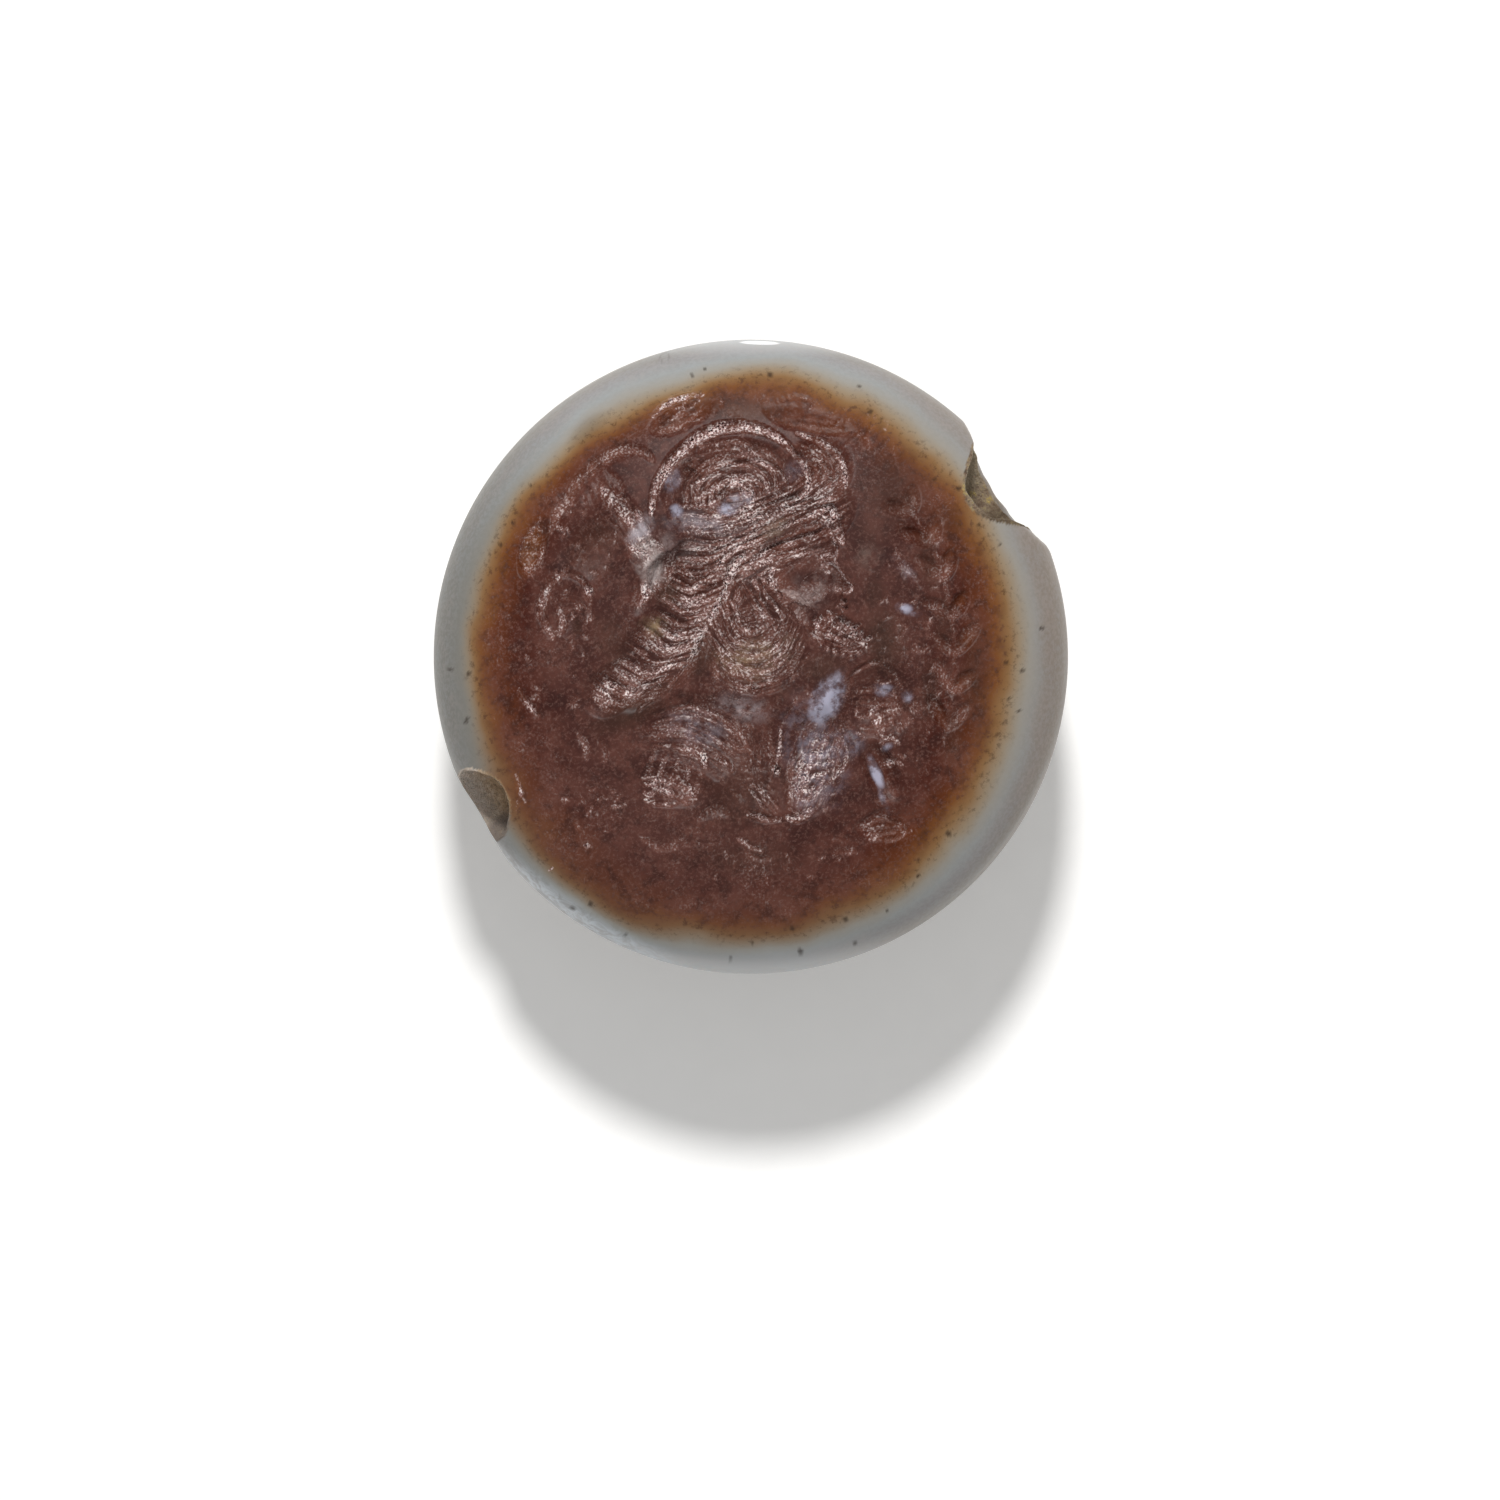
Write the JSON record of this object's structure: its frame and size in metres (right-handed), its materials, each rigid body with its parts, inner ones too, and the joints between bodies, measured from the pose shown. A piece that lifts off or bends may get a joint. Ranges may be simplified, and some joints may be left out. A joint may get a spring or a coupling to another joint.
{
  "type": "agate seal stone",
  "caption": "Round drilled stamp seal of banded agate with a convex engraved face, a rounded back with a flat foot and a string-hole through its sides.",
  "frame": {"origin": "centre of the flat foot that the stone rests on", "axes": "+Z out of the engraved face, +X along the string-hole towards its chipped mouth, +Y across the hole towards the side where the bust has its head"},
  "size_m": [0.0217, 0.022, 0.013],
  "materials": {
    "agate": "polished banded agate with frosted engraving"
  },
  "bodies": {
    "root": {"seal_stone": "agate"}
  },
  "joints": []
}
